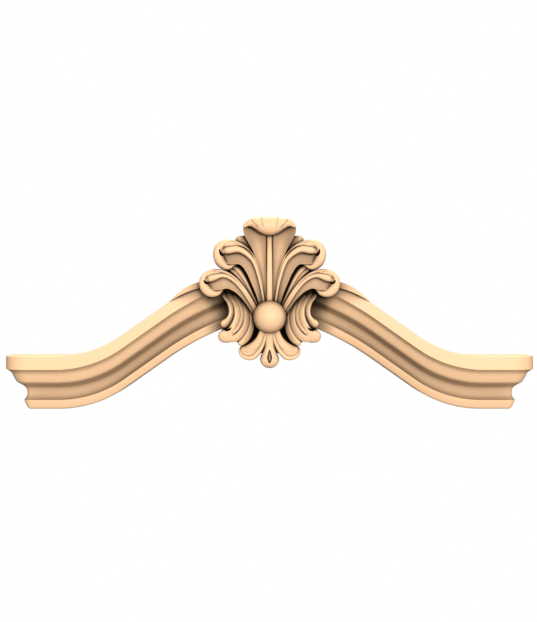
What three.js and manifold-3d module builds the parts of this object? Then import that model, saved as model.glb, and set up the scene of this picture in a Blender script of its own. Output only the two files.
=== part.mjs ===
// Swan-neck cornice crest with a carved acanthus cartouche at its crown.
// Millimetres, +Z up. The front faces -Y. The flat back lies in the plane y = 0, where the
// crest is fixed, and the origin is on that back, behind the middle of the crown.

import * as THREE from 'three';
import { mergeVertices } from 'three/addons/utils/BufferGeometryUtils.js';
import Module from 'manifold-3d';

// Driving dimensions of the moulding
const overallWidth = 800;
const mouldingDepth = 80;
const crownRise = 138;
const levelRun = 42;
const footCornerRadius = 4.3;
const edgeRadius = 1.5;

// Members of the moulding from its top edge down. A member drops by its height, steps back by
// its run, and bows away from its own chord (minus is out towards the front).
const members = [
  { member: 'band', drop: 18.5, run: 0, bow: 0, steps: 1 },
  { member: 'quirk', drop: 6.1, run: 8.6, bow: 0, steps: 1 },
  { member: 'ovolo', drop: 10.2, run: 5, bow: -0.5, steps: 1 },
  { member: 'turned edge', drop: 6.1, run: 6.6, bow: -1.6, steps: 2 },
  { member: 'fillet', drop: 5.6, run: 8.6, bow: 0, steps: 1 },
  { member: 'cove', drop: 7.3, run: 2.4, bow: 1.5, steps: 2 },
  { member: 'sweep', drop: 10.9, run: -3.5, bow: 2.9, steps: 2 },
  { member: 'arris', drop: 1.2, run: -1, bow: 0, steps: 1 },
  { member: 'foot', drop: 9.6, run: 4.2, bow: 0, steps: 1 },
  { member: 'foot edge', drop: 4, run: 3.8, bow: -1.2, steps: 2 },
];

// Rise of the arms, as shares of half the arch: a rounded foot, a straight flight, a long
// shoulder and the crown. The flight's length and the crown's radius follow from the rest.
const archAspect = 0.4335;
const footRadiusShare = 0.54;
const shoulderRadiusShare = 1.28;
const flightSlope = THREE.MathUtils.degToRad(35.2);
const crownSlope = THREE.MathUtils.degToRad(17.3);
const stationsPerArm = 17;
const cornerSteps = 6;

// The raised lip on the top edge, a crescent that comes out from behind the cartouche
const lipTipFromMiddle = 149;
const lipRootFromMiddle = 95;
const lipAboveEdge = 7;
const lipBelowEdge = 8.2;
const lipTipHalfWidth = 0.2;
const lipProud = 4;
const lipThickness = 16;

// Driving dimensions of the cartouche
const cartoucheHeight = 223;
const bossBelowCrown = 39;
const seatDepth = 30;
const fittingGap = 0.35;

// The carving is drawn on squared paper: 152 squares high, with the boss centre as its zero.
// Relief is counted in the same squares, forward from the face of the moulding's band.
const square = cartoucheHeight / 152;
const drawn = {
  bossRadius: 16.7, bossStand: 10.8, seatTop: 2, strokeFoot: 0.6, pocketFloor: -18,
  cutClear: 12, cutFront: 40,
};

const wasm = await Module();
wasm.setup();

const total = (rows, key) => rows.reduce((sum, row) => sum + row[key], 0);
const mouldingHeight = edgeRadius + total(members, 'drop');
const profileRun = total(members, 'run');
const cornerRadius = profileRun + footCornerRadius;
const archHalfSpan = overallWidth / 2 - cornerRadius - levelRun;

// Closed meshes and solids

function toGeometry(vertices, faces) {
  const geometry = new THREE.BufferGeometry();
  geometry.setAttribute('position', new THREE.Float32BufferAttribute(vertices.flat(), 3));
  geometry.setIndex(faces.flat());
  return geometry;
}

function signedVolume(vertices, faces) {
  const corners = [new THREE.Vector3(), new THREE.Vector3(), new THREE.Vector3()];
  return faces.reduce((sum, face) => {
    face.forEach((vertex, i) => corners[i].fromArray(vertices[vertex]));
    return sum + corners[0].dot(corners[1].cross(corners[2])) / 6;
  }, 0);
}

function toSolid(source) {
  const bare = source.clone();
  bare.deleteAttribute('normal');
  bare.deleteAttribute('uv');
  const geometry = mergeVertices(bare, 1e-4);
  const position = geometry.attributes.position;
  const vertices = [];
  for (let i = 0; i < position.count; i += 1) {
    vertices.push([position.getX(i), position.getY(i), position.getZ(i)]);
  }
  const faces = [];
  for (let i = 0; i < geometry.index.count; i += 3) {
    const face = [0, 1, 2].map((corner) => geometry.index.getX(i + corner));
    if (new Set(face).size === 3) faces.push(face);
  }
  if (signedVolume(vertices, faces) < 0) faces.forEach((face) => face.reverse());
  return new wasm.Manifold(new wasm.Mesh({
    numProp: 3,
    vertProperties: new Float32Array(vertices.flat()),
    triVerts: new Uint32Array(faces.flat()),
  }));
}

function fromSolid(solid) {
  const mesh = solid.getMesh();
  const geometry = new THREE.BufferGeometry();
  geometry.setAttribute('position', new THREE.BufferAttribute(new Float32Array(mesh.vertProperties), 3));
  geometry.setIndex(new THREE.BufferAttribute(new Uint32Array(mesh.triVerts), 1));
  geometry.computeVertexNormals();
  return geometry;
}

const joinAll = (solids) => solids.reduce((whole, solid) => whole.add(solid));

// A flat cap over one closed ring, wound the way the ring runs
function capFaces(ring) {
  const points = ring.map((point) => new THREE.Vector3(...point));
  const normal = new THREE.Vector3();
  points.forEach((point, i) => {
    normal.add(point.clone().cross(points[(i + 1) % points.length]));
  });
  normal.normalize();
  const across = new THREE.Vector3(normal.z, normal.x, normal.y).cross(normal).normalize();
  const up = normal.clone().cross(across);
  const flat = points.map((point) => new THREE.Vector2(point.dot(across), point.dot(up)));
  return THREE.ShapeUtils.triangulateShape(flat, []).map((face) => {
    const turn = THREE.ShapeUtils.area(face.map((i) => flat[i]));
    return turn > 0 ? face : face.reverse();
  });
}

// Skins a row of rings that have the same number of points, with a cap at both ends
function skin(rings) {
  const count = rings[0].length;
  const faces = [];
  for (let r = 0; r + 1 < rings.length; r += 1) {
    for (let i = 0; i < count; i += 1) {
      const a = r * count + i;
      const b = r * count + (i + 1) % count;
      faces.push([a, b, a + count], [b, b + count, a + count]);
    }
  }
  const last = (rings.length - 1) * count;
  capFaces(rings[0]).forEach(([a, b, c]) => faces.push([a, c, b]));
  capFaces(rings[rings.length - 1]).forEach(([a, b, c]) => faces.push([last + a, last + b, last + c]));
  return toSolid(toGeometry(rings.flat(), faces));
}

// The cornice moulding

// The section as points (x: step back from the band, y: drop from the top edge)
function mouldingProfile() {
  const points = [new THREE.Vector2(edgeRadius, 0), new THREE.Vector2(0, edgeRadius)];
  const corner = new THREE.Vector2(0, edgeRadius);
  members.forEach(({ drop, run, bow, steps }) => {
    const end = corner.clone().add(new THREE.Vector2(run, drop));
    const chord = end.clone().sub(corner);
    const inward = new THREE.Vector2(chord.y, -chord.x).normalize();
    const middle = corner.clone().lerp(end, 0.5).addScaledVector(inward, bow);
    const curve = new THREE.QuadraticBezierCurve(corner.clone(), middle, end);
    points.push(...curve.getPoints(steps).slice(1));
    corner.copy(end);
  });
  return points;
}

// The same section grown outwards by a gap, with its top and bottom edges moved as well
function grownProfile(gap) {
  const points = mouldingProfile();
  return points.map((point, i) => {
    const before = points[Math.max(i - 1, 0)];
    const after = points[Math.min(i + 1, points.length - 1)];
    const along = after.clone().sub(before).normalize();
    const grown = point.clone().add(new THREE.Vector2(-along.y, along.x).multiplyScalar(gap));
    if (i === 0) grown.y = -gap;
    if (i === points.length - 1) grown.y = point.y + gap;
    return grown;
  });
}

// Height of the moulding above its level ends, at a distance from the middle
const archRise = makeArch();

function makeArch() {
  const [sinF, cosF] = [Math.sin(flightSlope), Math.cos(flightSlope)];
  const [sinC, cosC] = [Math.sin(crownSlope), Math.cos(crownSlope)];
  const footRun = footRadiusShare * sinF;
  const footClimb = footRadiusShare * (1 - cosF);
  const shoulderRun = shoulderRadiusShare * (sinF - sinC);
  const shoulderClimb = shoulderRadiusShare * (cosC - cosF);
  const runLeft = 1 - footRun - shoulderRun;
  const climbLeft = archAspect - footClimb - shoulderClimb;
  const spread = cosF * (1 - cosC) - sinF * sinC;
  const flight = (runLeft * (1 - cosC) - climbLeft * sinC) / spread;
  const crownRadius = (cosF * climbLeft - sinF * runLeft) / spread;
  const flightEnd = footRun + flight * cosF;
  const flightTop = footClimb + flight * sinF;
  const shoulderEnd = flightEnd + shoulderRun;
  const arc = (radius, offset) => Math.sqrt(Math.max(radius * radius - offset * offset, 0));
  return (fromMiddle) => {
    const t = 1 - Math.min(Math.abs(fromMiddle) / archHalfSpan, 1);
    let climb;
    if (t < footRun) climb = footRadiusShare - arc(footRadiusShare, t);
    else if (t < flightEnd) climb = footClimb + (t - footRun) * Math.tan(flightSlope);
    else if (t < shoulderEnd) {
      const centreRun = flightEnd + shoulderRadiusShare * sinF;
      climb = flightTop - shoulderRadiusShare * cosF + arc(shoulderRadiusShare, centreRun - t);
    } else climb = archAspect - crownRadius + arc(crownRadius, 1 - t);
    return climb / archAspect * crownRise;
  };
}

const topEdge = (x) => mouldingHeight / 2 - crownRise + archRise(x);

// Plan of the moulding: where each section stands and which way it faces
function mouldingStations() {
  const turnX = overallWidth / 2 - cornerRadius;
  const turnY = -(mouldingDepth - cornerRadius);
  const stations = [];
  for (let i = 0; i <= cornerSteps; i += 1) {
    const angle = (i / cornerSteps) * Math.PI / 2;
    stations.push({ x: -turnX, y: turnY, out: [-Math.cos(angle), -Math.sin(angle)] });
  }
  for (let i = 0; i <= 2 * stationsPerArm; i += 1) {
    const share = i / stationsPerArm - 1;
    stations.push({ x: share * archHalfSpan, y: turnY, out: [0, -1] });
  }
  const leftCorner = stations.slice(0, cornerSteps + 1);
  leftCorner.reverse().forEach(({ out }) => {
    stations.push({ x: turnX, y: turnY, out: [-out[0], out[1]] });
  });
  stations.unshift({ x: -turnX, y: 0, out: [-1, 0] });
  stations.push({ x: turnX, y: 0, out: [1, 0] });
  return stations;
}

function sweepMoulding(gap) {
  const profile = grownProfile(gap);
  const rings = mouldingStations().map(({ x, y, out }) => {
    const top = topEdge(x);
    const ring = profile.map((point) => {
      const reach = cornerRadius - point.x;
      return [x + out[0] * reach, y + out[1] * reach, top - point.y];
    });
    ring.push([x, 0, top - profile[profile.length - 1].y], [x, 0, top - profile[0].y]);
    return ring;
  });
  return skin(rings);
}

// Carving strokes

// Height of the top across a stroke, from -1 to 1 of its half width. A scoop is a hollow that
// leans to its lower side; a feather falls away from its outer edge.
const dome = (u) => 1 - Math.sqrt(1 - u * u);
const tops = {
  round: (u, halfWidth) => -0.85 * halfWidth * dome(u),
  soft: (u, halfWidth) => -0.5 * halfWidth * dome(u),
  hollow: (u, halfWidth) => -0.5 * halfWidth * (1 - u * u),
  scoop: (u, halfWidth) => -halfWidth * (0.36 * (1 - u * u) + 0.16 * (1 - u)),
  feather: (u, halfWidth) => {
    const inner = (u + 1) / 2;
    return -halfWidth * (0.45 * Math.max(1 - inner / 0.3, 0) ** 2 + 0.85 * inner ** 1.6);
  },
  level: () => 0,
};

// The line of a stroke with its relief, and its half width, as smooth curves through the rows
function curvesOf(rows) {
  const line = rows.map(([across, up, , relief]) => new THREE.Vector3(across, up, relief));
  const girth = rows.map(([, , halfWidth], i) => new THREE.Vector3(halfWidth, i, 0));
  return [new THREE.CatmullRomCurve3(line), new THREE.CatmullRomCurve3(girth)];
}

// A stroke follows its drawn rows [across, up, half width, height of relief] from tip to stem.
// Its walls run back to the foot and lean in a little. Round ends close like a half ball.
function stroke(rows, options) {
  const { top = 'round', steps = 8, facets = 4, tip = 2, stem = 0 } = options;
  const { foot = drawn.strokeFoot, lean = 1 } = options;
  const [path, girth] = curvesOf(rows);
  const ring = (centre, along, halfWidth, high, droop) => {
    const side = new THREE.Vector2(-along.y, along.x).normalize();
    const points = [];
    for (let i = 0; i <= facets; i += 1) {
      const rounded = top === 'round' || top === 'soft';
      const u = rounded ? -Math.cos(i / facets * Math.PI) : 2 * i / facets - 1;
      const level = high + tops[top](u, halfWidth) - droop;
      points.push([centre.x + side.x * u * halfWidth, centre.y + side.y * u * halfWidth, level]);
    }
    [lean, -lean].forEach((u) => {
      points.push([centre.x + side.x * u * halfWidth, centre.y + side.y * u * halfWidth, foot]);
    });
    return points;
  };
  const rings = [];
  const roundEnd = (at, sign, count) => {
    const centre = path.getPoint(at);
    const along = path.getTangent(at).setZ(0).normalize();
    const halfWidth = girth.getPoint(at).x;
    for (let i = 1; i <= count; i += 1) {
      const angle = i / (count + 0.35) * Math.PI / 2;
      const reach = sign * halfWidth * Math.sin(angle);
      const droop = 0.85 * halfWidth * (1 - Math.cos(angle));
      const place = centre.clone().addScaledVector(along, reach);
      const end = ring(place, along, halfWidth * Math.cos(angle), centre.z, droop);
      if (sign < 0) rings.unshift(end);
      else rings.push(end);
    }
  };
  for (let i = 0; i <= steps; i += 1) {
    const at = i / steps;
    const centre = path.getPoint(at);
    rings.push(ring(centre, path.getTangent(at), girth.getPoint(at).x, centre.z, 0));
  }
  roundEnd(0, -1, tip);
  roundEnd(1, 1, stem);
  return rings;
}

const seat = -seatDepth / square;

// Turns drawn rings into a solid in place. side is 1 for the right half and -1 for the left.
function carve(rings, side = 1) {
  return skin(rings.map((ring) => ring.map(([across, up, relief]) => [
    side * across * square,
    -mouldingDepth - relief * square,
    up * square - bossBelowCrown,
  ])));
}

const bothSides = (rings) => [carve(rings, 1), carve(rings, -1)];

// The upper and the lower volute leaf: a rolled rim, two ribs, and a scoop under them
const upperVolute = {
  rim: [[34, 73.6, 2.8, 14.5], [39.5, 73.9, 3.6, 16.5], [45.5, 73, 3.9, 18], [50.1, 69.2, 4.3, 19],
    [51.7, 62.6, 4.6, 19.2], [49.5, 56.1, 5.2, 18], [46.4, 52.4, 4.7, 16.6], [43, 50.2, 3.7, 15.6],
    [39.8, 50.4, 2.9, 15], [37, 51.9, 2.1, 14.8], [34.4, 53.2, 1.4, 14.6], [31.5, 53.9, 0.8, 14.2]],
  outerRib: [[36.3, 73.2, 2.6, 15.5], [30.2, 72, 2.6, 15.5], [25.4, 69.3, 2.3, 15.5],
    [20.9, 65.4, 2.1, 15.5], [16.5, 60, 1.9, 15.5], [13.3, 53.5, 1.7, 15.5], [10.9, 45.6, 1.6, 15],
    [8.6, 34.6, 1.4, 15], [5.6, 14, 1.3, 13]],
  fingerRib: [[46, 65.9, 3.2, 17.5], [43, 66.3, 3.7, 19], [38.7, 66.8, 3.7, 19.5], [34, 67.4, 3.4, 19],
    [29.9, 67, 3.2, 18.5], [25.7, 65, 2.9, 18], [21.2, 61.6, 2.5, 17.5], [16.9, 56.8, 2.1, 17],
    [13.6, 49.8, 1.8, 16.5], [10.7, 39.8, 1.5, 16], [8.2, 29.2, 1.3, 15], [5.1, 12.2, 1.2, 13]],
  scoop: [[46.5, 57.2, 5, 15], [41.3, 58.3, 6, 15.6], [36.5, 59, 6.6, 16], [31.4, 59.3, 6.6, 16],
    [26.6, 57.7, 6.3, 16], [22.1, 53.8, 6, 15.8], [19, 49, 5.8, 15.6], [16.4, 43.4, 5.4, 15.4],
    [13.6, 35.6, 4.9, 15], [10.6, 27.2, 4.4, 14.4], [8.6, 19.8, 3.8, 13.4], [6.8, 12, 3.2, 12.4]],
};
const lowerVolute = {
  rim: [[51, 45.6, 2.4, 14.5], [57.8, 44.8, 2.8, 16], [62.4, 42.9, 2.8, 17], [65.6, 39.3, 3.1, 18],
    [66.5, 33.7, 3.8, 18.2], [63.7, 28.3, 5.1, 17.6], [59.3, 24.8, 4.7, 16.6], [54.9, 24.1, 4, 15.8],
    [51.4, 24.8, 3.1, 15.2], [48.9, 26.6, 2.2, 15], [46.7, 28.6, 1.4, 14.8], [44, 29.4, 0.8, 14.4]],
  outerRib: [[54.5, 45.4, 2.3, 15], [49.3, 45.4, 2.3, 15.5], [42.8, 43.5, 2.1, 15.5],
    [37.6, 40.2, 2.1, 15.5], [32.6, 36.1, 2.1, 15.5], [28, 30.7, 2, 15.5], [23.4, 24.6, 1.8, 15.5],
    [19.1, 18.2, 1.5, 15], [13.2, 8, 1.3, 13.5]],
  fingerRib: [[62.1, 37.2, 2.8, 17], [59.9, 37.8, 3.5, 18.5], [56.7, 38.9, 3.5, 19], [53, 40, 3, 18.5],
    [49.7, 41, 2.5, 18], [45.6, 41.2, 2.1, 17.5], [41.5, 40, 1.9, 17], [37.4, 37.7, 1.8, 17],
    [33.1, 34.1, 1.7, 16.5], [28.4, 28.6, 1.6, 16], [24, 22.5, 1.5, 15.5], [19.9, 16, 1.4, 15],
    [14, 6.2, 1.3, 13.5]],
  scoop: [[59.5, 30.8, 4.4, 15.4], [54.5, 31.8, 5.4, 16.2], [50, 33, 6.2, 16.6], [45.5, 34, 5.9, 16.6],
    [41, 33.6, 5.4, 16.2], [36.8, 31.3, 4.5, 15.8], [32.7, 28.2, 3.7, 15.4], [28.1, 23.6, 3.1, 15],
    [24, 18.5, 2.7, 14.5], [20.3, 12.8, 2.4, 14], [15, 3.5, 2, 12.8]],
};

// Narrow strokes on each side, from tip to stem: a ribbon between the two volutes, the fan of
// scroll ribs beside the boss, and the lobe below
const ribbon = [
  [[35.1, 49.6, 2.7, 12], [31.4, 46.3, 3.1, 13], [27.5, 41.3, 2.8, 13], [23.6, 34.6, 2.3, 13],
   [19.7, 26.7, 1.9, 12.6], [15.9, 18.6, 1.6, 11.6], [11, 9.2, 1.4, 10.5]],
  [[38.6, 46.9, 1.8, 11.8], [33.8, 43.1, 2.4, 12.4], [29.2, 37.6, 2.3, 12.4], [24.5, 30.9, 2, 12.2],
   [20.1, 24.1, 1.7, 11.8], [15.7, 16.5, 1.5, 11], [11.5, 8.2, 1.3, 10]],
];
const ribbonBed = [[34.9, 47.3, 3, 10.6], [30.3, 42.4, 3, 11.3], [26.1, 36.4, 2.7, 11.3],
  [21.8, 28.5, 2.3, 11], [15.9, 17.6, 1.8, 9.5], [11.1, 8.6, 1.5, 9]];
const scrollRibs = [
  [[44.8, -6.9, 4.2, 14], [41.2, -4.6, 4.1, 14.3], [38.2, 0.4, 3.4, 14], [37.6, 6.4, 3, 13],
   [38.8, 11.5, 2.7, 11.5], [41, 16.1, 2.4, 9.5], [44.2, 19.7, 2, 7.5], [46.7, 22.8, 1.3, 6]],
  [[45.1, -19.2, 6.4, 15.5], [41.2, -18.6, 6.9, 15.8], [37.5, -14.4, 5.2, 16], [35, -8.4, 3.6, 16],
   [32.8, -3.2, 3.4, 15.8], [31.7, 2.5, 3.4, 14.8], [32.3, 8.8, 3.2, 13], [34.8, 14.6, 2.8, 10.5],
   [38.1, 19.4, 2.3, 8], [42.1, 23.8, 1.5, 5]],
  [[36, -15.3, 1.6, 14.6], [31.5, -10.4, 1.9, 14.6], [28.4, -4.2, 1.9, 14], [27.3, 2.6, 1.9, 13],
   [28.2, 9, 1.8, 11.5], [31.1, 15.8, 1.7, 9], [35.5, 21.8, 1.4, 6]],
  [[40, -20.8, 3.6, 13.6], [35.8, -21, 4.2, 13.8], [30.9, -18.2, 4.1, 14], [26.5, -13.2, 3.8, 14],
   [23.5, -7.4, 3.8, 13.6], [22.5, -1.2, 3.7, 12.8], [22.9, 4.6, 3.3, 11.6], [25.4, 11.6, 2.6, 9.5],
   [30.1, 18.8, 2, 6]],
  [[28.5, -25.8, 3.2, 11.4], [24.9, -22.6, 3.6, 11.8], [21.4, -17.8, 3.4, 12.2], [19, -12.4, 2.9, 12.2],
   [17.8, -6.4, 2.3, 11.8], [17.6, -0.4, 2, 11], [18.7, 5.6, 1.6, 9.5], [21, 11.2, 1.3, 7]],
];
const fanBed = [[36.5, -16.4, 6.2, 10.5], [31.5, -11, 7, 10.5], [28.4, -4.4, 8, 10],
  [27.6, 2.6, 8.2, 9.3], [28.9, 9, 7.4, 8], [31.5, 14.8, 5.8, 6], [36, 20, 4.5, 4]];
const fanBack = [[45.4, -12.6, 3.2, 4], [42, -12.8, 3.6, 4.6], [38, -11.4, 3.6, 6]];
const lobeBody = [[25.4, -33.4, 5.2, 8.2], [21.2, -32.9, 5.6, 9.8], [16.4, -30.7, 5.6, 11.4],
  [12.1, -26.8, 5.2, 12.8], [9.3, -21.9, 4.3, 13.8], [7.4, -15.8, 3.3, 14.8], [6, -9.8, 2.7, 15]];
const lobeRim = [[29.9, -32.6, 1.1, 7.5], [29.2, -36.4, 1.7, 8.6], [26.2, -39.3, 2.1, 9.4],
  [21.3, -40.8, 2.4, 10.4], [16.5, -40.1, 2.6, 11.4], [12.6, -36.7, 2.5, 12.2], [8.7, -31.3, 2.3, 13],
  [6.1, -25.8, 2.1, 13.8], [4.3, -19.8, 2, 14.6], [3.5, -9.8, 1.7, 15]];
const lobeBed = [[27.9, -34.6, 2.4, 7.7], [24.8, -37.2, 3, 8.6], [20.8, -37.8, 3.2, 9.4],
  [15.8, -36, 3.4, 10.5], [11.8, -32, 2.8, 11.4], [8.6, -26, 2.2, 12], [5.8, -19, 2, 12.8],
  [4.6, -10, 1.8, 13.2]];
const backLobe = [[29.3, 76.6, 5, 12], [24, 75, 6.2, 11.5], [19.5, 70, 6, 10.5], [16.5, 64, 4.5, 9.5]];

// Strokes on the middle line and just beside it: the tall leaf, its curled cap and the drop
const leafHollow = [[14.9, 89, 11.4, 20], [14.8, 86.2, 11.4, 19.5], [14.2, 82.8, 10.6, 18.5],
  [12.9, 78, 9.3, 17], [11.1, 71.5, 7.6, 16], [9.6, 64.6, 6, 14.8], [8.2, 57.4, 4.6, 14],
  [7.1, 50.8, 3.5, 13.6], [6, 43, 2.6, 13.4], [5.3, 35.2, 2, 13.4], [4.6, 26.2, 1.6, 13],
  [4.1, 12.2, 1.4, 12]];
const leafRib = [[0, 89, 5.5, 18], [0, 79, 4, 16], [0, 65, 3, 15], [0, 36, 3, 15.5], [0, 12, 2.8, 15]];
const cap = [[-24.5, 90.2, 1.7, 20.5], [-22, 92.2, 2.8, 21.5], [-17.5, 93.4, 4.5, 23],
  [-12.5, 92.7, 6.3, 24.5], [-6.5, 91.4, 8.7, 26], [0, 90.6, 9.9, 26.5], [6.5, 91.4, 8.7, 26],
  [12.5, 92.7, 6.3, 24.5], [17.5, 93.4, 4.5, 23], [22, 92.2, 2.8, 21.5], [24.5, 90.2, 1.7, 20.5]];
const capBed = [[-19, 91, 3.5, 14], [0, 92, 6, 15], [19, 91, 3.5, 14]];
const drop = [[0, -41.8, 9.6, 12.8], [0, -38, 8.4, 13], [0, -33.6, 6.2, 13.4], [0, -29.4, 4.8, 13.8],
  [0, -23.6, 4.7, 14.4], [0, -17, 5.2, 15], [0, -9.8, 5.4, 15]];

// The seat block under the strokes, inside their outline: it carries them and closes the gaps
// between them. Two pockets beside the foot of the boss are cut deep into it.
const seatOutline = [[0, 87], [15, 87], [19, 76], [31, 72.5], [44, 68], [49, 60], [45, 50.5], [46, 40],
  [52, 36], [60, 35.5], [61.5, 30], [56, 26], [44, 27], [40, 20], [35.5, 12], [35.5, 0], [41.5, -8],
  [43, -19], [37, -23.5], [27, -28], [25.5, -36], [15, -39], [7, -36], [6, -44], [0, -47]];
const pocketOutline = [[16.3, -5.8], [10.1, -12.8], [10.5, -15.6], [12.5, -20.6], [16.1, -24.8],
  [20.5, -28.4], [26, -30.6], [24.5, -28.2], [21, -23.2], [18.1, -18.2], [16.3, -12.5]];

// Fine cuts: flutes over the cap, a slit in the fan and a drop-shaped cut low on the middle line
const capFlutes = [
  [[18.7, 97.7, 3.2, 20.3], [15.8, 93.4, 3.2, 23.1], [12.8, 90.3, 3, 23.6], [10.6, 88.4, 2.6, 24.2]],
  [[8.7, 99.5, 3.2, 20.6], [7.6, 94.1, 3.2, 25], [6.8, 90.3, 3, 25.6], [6.3, 88.2, 2.6, 25.6]],
];
const slit = [[46.6, -11.5, 0.5, 5], [44.6, -12.5, 1, 3.6], [42.2, -12.9, 1.3, 3.6],
  [40, -12.2, 1.1, 3.6], [38.2, -10.6, 0.5, 6]];
const dropCut = [[0, -44.4, 1.5, 10.6], [0, -41, 2.6, 10.4], [0, -37, 1.9, 10.8],
  [0, -32.6, 0.6, 11.6]];

// A cut is a long V with its lowest line at the drawn relief
function cutRings(rows, steps) {
  const [path, girth] = curvesOf(rows);
  const rings = [];
  for (let i = 0; i <= steps; i += 1) {
    const at = path.getPoint(i / steps);
    const along = path.getTangent(i / steps);
    const spread = girth.getPoint(i / steps).x * drawn.cutClear / 2;
    const side = new THREE.Vector2(-along.y, along.x).normalize().multiplyScalar(spread);
    const front = at.z + drawn.cutClear;
    rings.push([
      [at.x - side.x, at.y - side.y, front],
      [at.x, at.y, at.z],
      [at.x + side.x, at.y + side.y, front],
    ]);
  }
  return rings;
}

function voluteLeaf({ rim, outerRib, fingerRib, scoop }) {
  return [
    ...bothSides(stroke(rim, { steps: 11, lean: 0.85, stem: 1 })),
    ...bothSides(stroke(outerRib, { steps: 7, facets: 2, tip: 1 })),
    ...bothSides(stroke(fingerRib, { steps: 9, facets: 3, tip: 1 })),
    ...bothSides(stroke(scoop, { steps: 8, facets: 2, top: 'scoop', tip: 1 })),
  ];
}

// An upright block between two levels, counted forward from the face of the band
function block(outline, low, high) {
  const shape = new THREE.Shape(outline.map(([across, up]) => new THREE.Vector2(across, up)));
  const geometry = new THREE.ExtrudeGeometry(shape, { depth: high - low, bevelEnabled: false });
  geometry.rotateX(Math.PI / 2);
  geometry.translate(0, -low, 0);
  geometry.scale(square, square, square);
  geometry.translate(0, -mouldingDepth, -bossBelowCrown);
  return toSolid(geometry);
}

const mirrored = (outline) => outline.map(([across, up]) => [-across, up]).reverse();

function boss() {
  const ball = new THREE.SphereGeometry(drawn.bossRadius * square, 20, 10);
  ball.rotateX(Math.PI / 2);
  ball.translate(0, -mouldingDepth - drawn.bossStand * square, -bossBelowCrown);
  return toSolid(ball);
}

function carveCartouche() {
  const whole = [...seatOutline, ...mirrored(seatOutline).slice(1, -1)];
  const bed = { steps: 4, facets: 1, tip: 0, top: 'level' };
  const strokes = [
    ...voluteLeaf(upperVolute),
    ...voluteLeaf(lowerVolute),
    ...[ribbonBed, fanBed, fanBack, lobeBed].flatMap((rows) => bothSides(stroke(rows, bed))),
    ...ribbon.flatMap((rows) => bothSides(stroke(rows, { steps: 4, facets: 2, tip: 1 }))),
    ...scrollRibs.flatMap((rows) => bothSides(stroke(rows, { steps: 7, facets: 3, tip: 1, top: 'feather' }))),
    ...bothSides(stroke(lobeBody, { steps: 5, top: 'soft' })),
    ...bothSides(stroke(lobeRim, { steps: 6, facets: 3, tip: 1 })),
    ...bothSides(stroke(backLobe, { steps: 3, top: 'soft' })),
    ...bothSides(stroke(leafHollow, { steps: 5, top: 'hollow', tip: 0 })),
    carve(stroke(leafRib, { steps: 5, facets: 2, tip: 0, top: 'soft' })),
    carve(stroke(cap, { steps: 10, facets: 5, tip: 2, stem: 2, foot: 12 })),
    carve(stroke(capBed, { steps: 4, top: 'level', facets: 1, tip: 1, stem: 1 })),
    carve(stroke(drop, { steps: 6, tip: 3, top: 'soft' })),
    block(whole, seat, drawn.seatTop),
    boss(),
  ];
  const cuts = [
    ...capFlutes.flatMap((rows) => bothSides(cutRings(rows, 4))),
    ...bothSides(stroke(slit, { steps: 4, facets: 1, tip: 1, stem: 1, top: 'level', foot: drawn.cutFront })),
    carve(stroke(dropCut, { steps: 5, facets: 1, tip: 2, top: 'level', foot: drawn.cutFront })),
    block(pocketOutline, drawn.pocketFloor, drawn.seatTop + 1),
    block(mirrored(pocketOutline), drawn.pocketFloor, drawn.seatTop + 1),
  ];
  const lipClear = Math.max(lipThickness, seatDepth);
  return joinAll(strokes).subtract(joinAll(cuts)).subtract(mouldingSolid(fittingGap, lipClear));
}

// The raised lip of one arm follows the top edge of the moulding. Its face stands proud along
// the lower edge and comes back to the band at the upper one. The cartouche is cut clear of it
// as deep as the seat goes, so that nothing of the seat is left standing behind it.
function lip(side, gap, thickness) {
  const steps = 8;
  const rings = [];
  for (let i = 0; i <= steps; i += 1) {
    const share = i / steps;
    const x = THREE.MathUtils.lerp(lipTipFromMiddle, lipRootFromMiddle, share);
    const above = lipAboveEdge * 4 * share * (1 - share) + lipTipHalfWidth;
    const below = lipBelowEdge * share * share + lipTipHalfWidth;
    const width = above + below;
    const centre = topEdge(x) + (above - below) / 2;
    const swell = lipProud * Math.min(1, share * 3);
    const back = mouldingDepth - thickness - gap;
    const corner = (across, depth) => [side * x, -depth, centre + across * (width / 2 + gap)];
    rings.push([
      corner(-1, back),
      corner(-1, mouldingDepth + swell + gap),
      corner(1, mouldingDepth + swell * 0.2 + gap),
      corner(1, back),
    ]);
  }
  return skin(rings);
}

function mouldingSolid(gap, lipDepth) {
  return joinAll([sweepMoulding(gap), lip(1, gap, lipDepth), lip(-1, gap, lipDepth)]);
}

// The finished pieces

function piece(name, solid, colour) {
  const material = new THREE.MeshStandardMaterial({ color: colour, roughness: 0.55, metalness: 0 });
  const mesh = new THREE.Mesh(fromSolid(solid), material);
  mesh.name = name;
  return mesh;
}

const crest = new THREE.Group();
crest.add(piece('cornice_moulding', mouldingSolid(0, lipThickness), '#e8c592'));
crest.add(piece('acanthus_cartouche', carveCartouche(), '#eccb99'));

export default crest;
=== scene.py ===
import math

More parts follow.
